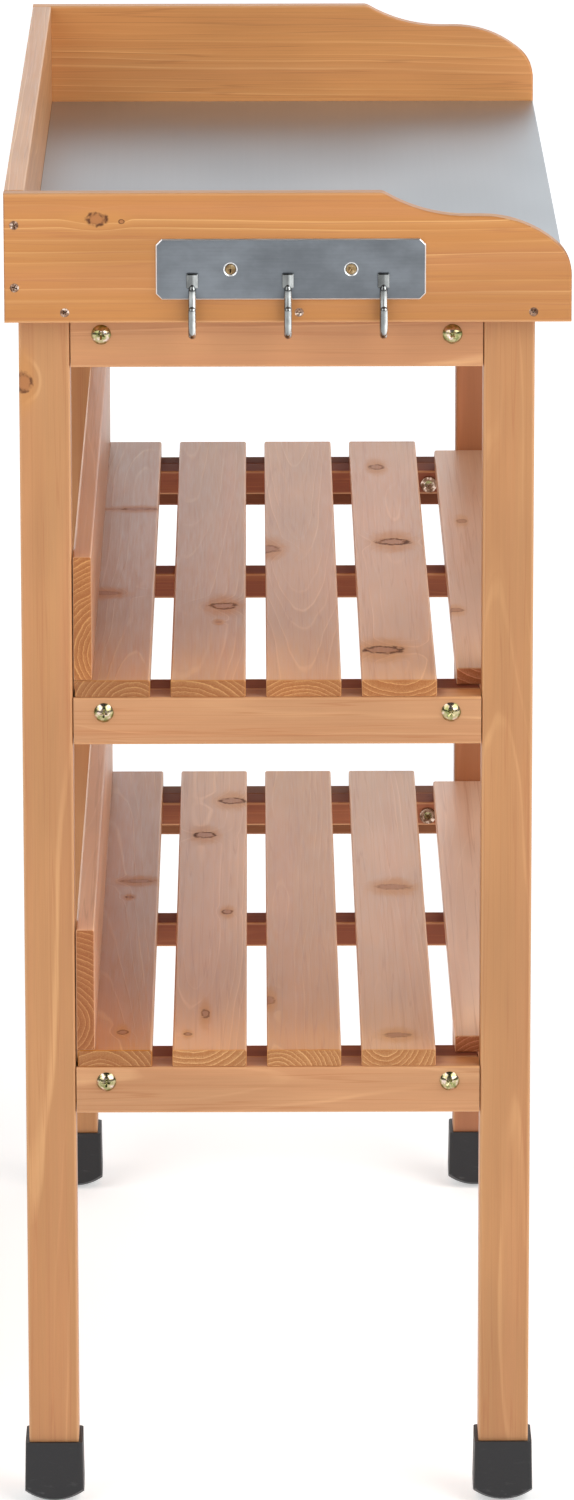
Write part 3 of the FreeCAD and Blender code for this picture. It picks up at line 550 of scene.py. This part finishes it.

# Boards that differ from their kind in tone, in paleness, in their ends or in how they were cut.
# Some of these tones and washes are painted light and painted shade, as noted below.
SPECIAL = {
    # The back slats are toned darker, and the lower back slat washed away from pale: painted shade
    # from the stop boards. The slats towards the front are washed paler: a painted sheen.
    "slat_mid_1": {"tone": 0.77, "pale": 0.05},
    "slat_mid_2": {"tone": 0.82, "pale": 0.05},
    "slat_mid_3": {
        "tone": 0.94, "pale": 0.17, "Pith": (0.0, 0.001, -0.022), "Lean": (0.0, 0.0, -0.034),
        "Ring": 0.0032, "Lines": 0.7,
    },
    "slat_mid_4": {"tone": 1.01, "pale": 0.28},
    "slat_mid_5": {"tone": 1.03, "pale": 0.52, "Ends": SHADED_END},
    "slat_low_1": {"tone": 0.78, "pale": -0.26},
    "slat_low_2": {"tone": 1.07, "pale": 0.15, "Ends": PALE_END},
    "slat_low_3": {"tone": 0.97, "pale": 0.03, "Ends": PALE_END},
    "slat_low_4": {"tone": 1.02, "pale": 0.32, "Ends": PALE_END},
    "slat_low_5": {"tone": 1.24, "pale": 0.66, "Ends": SHADED_END},
    "leg_front_right": {"tone": 0.78, "Early": srgb(164, 104, 67), "Late": srgb(196, 134, 92)},
    # The left side board is toned darker and the right one lighter: painted shade and painted
    # light, so that the left board's outer face and the right board's inner face look alike.
    "side_board_left": {"tone": 0.88, "Pith": (0.0, 0.045, -0.075), "Lines": 0.85},
    "side_board_right": {
        "tone": 1.19, "pale": 0.08, "Pith": (0.0, -0.040, 0.070), "Lines": 1.1,
    },
    "end_rail_mid_left": {"tone": 0.97, "pale": 0.14},
    "end_rail_low_left": {"tone": 1.0, "pale": 0.14},
    # The right end rails are toned darker: painted shade.
    "end_rail_top_right": {"tone": 0.80},
    "end_rail_mid_right": {"tone": 0.76},
    "end_rail_low_right": {"tone": 0.80},
    # The back board is toned lighter: painted light.
    "back_board": {"tone": 1.07, "pale": 0.12},
    "stop_board_mid": {"tone": 1.12, "pale": 0.23, "Ends": (0.92, 0.88, 0.80, 1.0)},
    "stop_board_low": {"tone": 1.37, "pale": 0.31, "Ends": (0.80, 0.70, 0.65, 1.0)},
}


def drawn_pith(dice, sawn):
    """Where a board's pith lies from its middle: far to one side, or close above or below."""
    side = dice.choice((-1, 1))
    if sawn == "quarter":
        return (0.0, dice.uniform(0.04, 0.09) * side, dice.uniform(-0.04, 0.04))
    beside = dice.uniform(-0.018, 0.018)
    above = dice.uniform(0.012, 0.035) * side
    return (0.0, above, beside) if sawn == "upright" else (0.0, beside, above)


def woodwork():
    """Every wooden piece, each cut from its own part of a log."""
    dice = random.Random(41)
    for node in sorted(nodes):
        kind = next((name for name in TIMBERS if node.startswith(name)), None)
        if kind is None:
            continue
        timber = TIMBERS[kind]
        pith = drawn_pith(dice, timber.sawn)
        special = dict(SPECIAL.get(node, {}))
        tone = special.pop("tone", dice.uniform(0.96, 1.04))
        pale = special.pop("pale", 0.0)
        look = {
            "Pith": pith,
            "Lean": (0.0, dice.uniform(-0.02, 0.02), dice.uniform(-0.04, 0.04)),
            "Ring": timber.ring * dice.uniform(0.85, 1.2),
            "Seed": dice.uniform(0.0, 60.0),
            "Lines": timber.lines * dice.uniform(0.85, 1.15),
            "Streaks": timber.streaks,
            "Early": toned(timber.early, tone, pale),
            "Late": toned(timber.late, tone, pale),
            "Ends": (tone, tone, tone, 1.0),
            "Rough": timber.rough,
        }
        look.update(special)
        # Screws that are named after their board take a draw as it does, but they are metal.
        if "screws" not in node:
            wood(node, timber.grain, look)


# ---------------------------------------------------------------------------------------------
# Metals and plastic.

def metal(tree, shader, colour, rough, height, depth, strength):
    """Feeds a Principled shader as wire does, and makes it a metal."""
    wire(tree, shader, colour, rough, height, depth, strength)
    shader.inputs["Metallic"].default_value = 1.0


def galvanised():
    """Smooth rolled zinc coated sheet, with faint roller lines and a breath of unevenness."""
    material, tree, shader = new_material("galvanised_sheet")
    place = object_place(tree)
    lines = noise(tree, place, (2, 500, 500), 2.0, 2.0, 0.6)
    cloud = noise(tree, place, (5, 8, 8), 5.0, 1.0, 0.4)
    level = spread(tree, cloud, 0.2, 0.8, 0.485, 0.515)
    level = calc(tree, "ADD", level, about_zero(tree, lines, 0.02))
    rough = spread(tree, cloud, 0.2, 0.8, 0.48, 0.44)
    metal(tree, shader, tinted(tree, level, 1.08, 1.16), rough, lines, 0.00005, 0.05)
    dress(material, ["worktop_sheet"])


def plate_steel():
    """Dull zinc on the hook plate, rubbed, with its edges bright: bare sheared steel and a painted
    highlight.
    """
    material, tree, shader = new_material("hook_plate_steel")
    place = object_place(tree)
    smudge = noise(tree, place, (30, 26, 40), 3.0, 4.0, 0.6)
    scratch = noise(tree, place, (1, 25, 900), 8.0, 2.0, 0.6)
    level = spread(tree, smudge, 0.28, 0.72, 0.155, 0.215)
    level = calc(tree, "ADD", level, about_zero(tree, scratch, 0.035))
    # Bright edges, where the faces do not look along x: bare sheared steel and a painted
    # highlight.
    edge = spread(tree, face_turn(tree, (1.0, 0.0, 0.0)), 0.88, 0.98, 1.0, 0.0)
    colour = blend(tree, edge, tinted(tree, level, 1.10, 1.22), (0.86, 0.87, 0.88, 1.0))
    metal(tree, shader, colour, mottle(tree, smudge, 0.42, 0.30), scratch, 0.0001, 0.15)
    dress(material, ["hook_plate"])


# How far under its top a hook's round wire turns into its flattened tab, which is painted darker:
# painted shade.
TAB_START = 0.016
TAB_FULL = 0.009


def bright_zinc():
    """Bright zinc plating on the bent hooks, with painted shade on each flat tab and a painted
    reflection: each hook brighter on its side towards the front of the bench and darker on its
    back side.
    """
    pitch = (box_of("hook_back")[0] - box_of("hook_middle")[0]).y
    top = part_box("hook_middle")[1].z
    material, tree, shader = new_material("hook_wire_steel")
    place = object_place(tree)
    parts = split(tree, place)
    cloud = noise(tree, place, (140, 140, 60), 1.0, 3.0, 0.6)
    # Painted shade on the flat tab, and a painted reflection across each hook, brighter on its
    # front side.
    tab_shade = spread(tree, parts[2], top - TAB_START, top - TAB_FULL, 1.0, 0.60)
    across = calc(tree, "WRAP", parts[1], pitch / 2, -pitch / 2)
    sheen = spread(tree, across, -0.0016, 0.0004, 1.30, 0.50)
    level = product(tree, mottle(tree, cloud, 0.36, 0.64), tab_shade, sheen)
    colour = tinted(tree, level, 1.05, 1.05)
    metal(tree, shader, colour, mottle(tree, cloud, 0.24, 0.13), cloud, 0.0002, 0.2)
    dress(material, ["hook_back", "hook_middle", "hook_front"])


def zinc(name, tints, names):
    """Passivated zinc with an oily shift between tints: dull, middling and bright."""
    material, tree, shader = new_material(name)
    place = object_place(tree)
    tint = noise(tree, place, (300, 300, 300), 4.0)
    colour = blend(tree, spread(tree, tint, 0.38, 0.50), tints[0], tints[1])
    colour = blend(tree, spread(tree, tint, 0.52, 0.64), colour, tints[2])
    speck = noise(tree, place, (900, 900, 900), 8.0, 1.0)
    metal(tree, shader, colour, mottle(tree, speck, 0.13, 0.22), speck, 0.00005, 0.10)
    dress(material, names)


def fasteners():
    """Green and yellow bolts, brass-coloured plate screws and nails, and brown wood screws."""
    yellow = ((0.24, 0.25, 0.10, 1.0), (0.46, 0.40, 0.22, 1.0), (0.72, 0.58, 0.50, 1.0))
    brass = ((0.16, 0.10, 0.05, 1.0), (0.26, 0.18, 0.09, 1.0), (0.40, 0.31, 0.20, 1.0))
    brown = ((0.12, 0.06, 0.035, 1.0), (0.26, 0.16, 0.11, 1.0), (0.78, 0.64, 0.54, 1.0))
    zinc("yellow_zinc", yellow, family("rail_bolts"))
    zinc("brass_zinc", brass, family("hook_plate_screws", "sheet_nails"))
    zinc("brown_zinc", brown, family(
        "side_board_screws", "back_board_screws", "panel_screws", "slat_screws",
        "stop_board_screws", "insert_nuts",
    ))


def pin_steel():
    """Dull dark steel of the tenon pins, part rusted."""
    material, tree, shader = new_material("steel_pins")
    stain = noise(tree, object_place(tree), (400, 400, 400), 6.0, 3.0)
    colour = blend(tree, stain, (0.09, 0.06, 0.045, 1.0), (0.26, 0.20, 0.16, 1.0))
    wire(tree, shader, colour, mottle(tree, stain, 0.45, 0.65), stain, 0.0001, 0.2)
    shader.inputs["Metallic"].default_value = 0.8
    dress(material, ["tenon_pins"])


def cap_plastic():
    """Charcoal moulded plastic with a fine matt grain and scuffs low down."""
    material, tree, shader = new_material("cap_plastic")
    place = object_place(tree)
    leather = noise(tree, place, (1800, 1800, 1800), 2.0, 2.0, 0.6)
    scuff = noise(tree, place, (90, 90, 240), 9.0, 4.0, 0.65)
    low_down = spread(tree, split(tree, place)[2], 0.004, 0.022, 1.0, 0.15)
    worn = calc(tree, "MULTIPLY", spread(tree, scuff, 0.55, 0.72), low_down)
    colour = blend(tree, worn, srgb(28, 28, 31), srgb(78, 77, 79))
    wire(tree, shader, colour, mottle(tree, leather, 0.42, 0.58), leather, 0.0002, 0.25)
    dress(material, family("foot_cap"))


# ---------------------------------------------------------------------------------------------
# Floor, light and camera.

FLOOR_HALF = 30.0

# Two square softboxes stand this far towards the camera, to either side and above the floor. Each
# has its own brightness, and both are a little warm.
SOFTBOX_NEAR = 3.2
SOFTBOX_ASIDE = 4.0
SOFTBOX_UP = 4.3
SOFTBOX_SIZE = 5.0
SOFTBOX_TINT = (1.0, 0.99, 0.97)
SOFTBOX_AIM = (0.0, 0.0, 0.5)
LEFT_RADIANCE = 2.15
RIGHT_RADIANCE = 3.6

# The camera: its place, the point that it looks at, its roll in radians, and its lens and sensor
# in millimetres.
EYE = (-5.6913, 0.0231, 1.9290)
LOOK_AT = (0.0, -0.0005, 0.4480)
ROLL = -0.0014
LENS = 194.1
SENSOR_HEIGHT = 36.0


def aim(thing, target):
    """Turns a light or camera to look at a point."""
    thing.rotation_mode = "QUATERNION"
    thing.rotation_quaternion = (Vector(target) - thing.location).to_track_quat("-Z", "Y")


def floor():
    """A large plain pale floor, with a glow that keeps it white and grows away from the bench."""
    mesh = bpy.data.meshes.new("floor")
    shape = bmesh.new()
    bmesh.ops.create_grid(shape, x_segments=1, y_segments=1, size=FLOOR_HALF)
    shape.to_mesh(mesh)
    shape.free()
    plane = bpy.data.objects.new("floor", mesh)
    scene.collection.objects.link(plane)
    material, tree, shader = new_material("floor_paint")
    place = object_place(tree)
    cloud = noise(tree, place, (2, 2, 2), 1.0, 3.0)
    wire(tree, shader, blend(tree, cloud, (0.88, 0.88, 0.88, 1.0), (0.91, 0.91, 0.91, 1.0)))
    shader.inputs["Roughness"].default_value = 0.9
    shader.inputs["Emission Color"].default_value = (1.0, 1.0, 1.0, 1.0)
    glow = spread(tree, vector_calc(tree, "LENGTH", place), 0.8, 4.0, 0.47, 0.74)
    tree.links.new(glow, shader.inputs["Emission Strength"])
    mesh.materials.append(material)


def softbox(name, aside, radiance):
    """A square softbox of a given brightness, on one side of the camera."""
    data = bpy.data.lights.new(name, "AREA")
    data.size = SOFTBOX_SIZE
    data.energy = radiance * math.pi * SOFTBOX_SIZE ** 2
    data.color = SOFTBOX_TINT
    lamp = bpy.data.objects.new(name, data)
    lamp.location = (-SOFTBOX_NEAR, aside, SOFTBOX_UP)
    scene.collection.objects.link(lamp)
    aim(lamp, SOFTBOX_AIM)


def surround():
    """A studio: a white backdrop beyond the right end, dimmer overhead and behind the camera."""
    world = bpy.data.worlds.new("surround")
    world.use_nodes = True
    tree = world.node_tree
    parts = split(tree, put(tree, "ShaderNodeTexCoord").outputs["Generated"])
    beyond = spread(tree, parts[0], -0.35, 0.75, 0.30, 1.60)
    overhead = spread(tree, parts[2], 0.20, 0.75, 1.0, 0.18)
    aside = spread(tree, calc(tree, "ABSOLUTE", parts[1]), 0.55, 0.95, 1.0, 0.35)
    sky = tree.nodes["Background"]
    sky.inputs["Color"].default_value = (1.0, 1.0, 1.0, 1.0)
    tree.links.new(product(tree, beyond, overhead, aside), sky.inputs["Strength"])
    scene.world = world


def studio():
    """Two large softboxes high on either side of the camera, and the surround."""
    softbox("box_left", SOFTBOX_ASIDE, LEFT_RADIANCE)
    softbox("box_right", -SOFTBOX_ASIDE, RIGHT_RADIANCE)
    surround()
    scene.view_settings.view_transform = "Standard"


def camera():
    """A long lens well back from the left end, looking a little down."""
    data = bpy.data.cameras.new("camera")
    data.sensor_fit = "VERTICAL"
    data.sensor_height = SENSOR_HEIGHT
    data.lens = LENS
    data.clip_end = 200.0
    view = bpy.data.objects.new("camera", data)
    view.location = EYE
    scene.collection.objects.link(view)
    aim(view, LOOK_AT)
    view.rotation_quaternion = view.rotation_quaternion @ Quaternion((0.0, 0.0, 1.0), ROLL)
    scene.camera = view


woodwork()
galvanised()
plate_steel()
bright_zinc()
fasteners()
pin_steel()
cap_plastic()
floor()
studio()
camera()
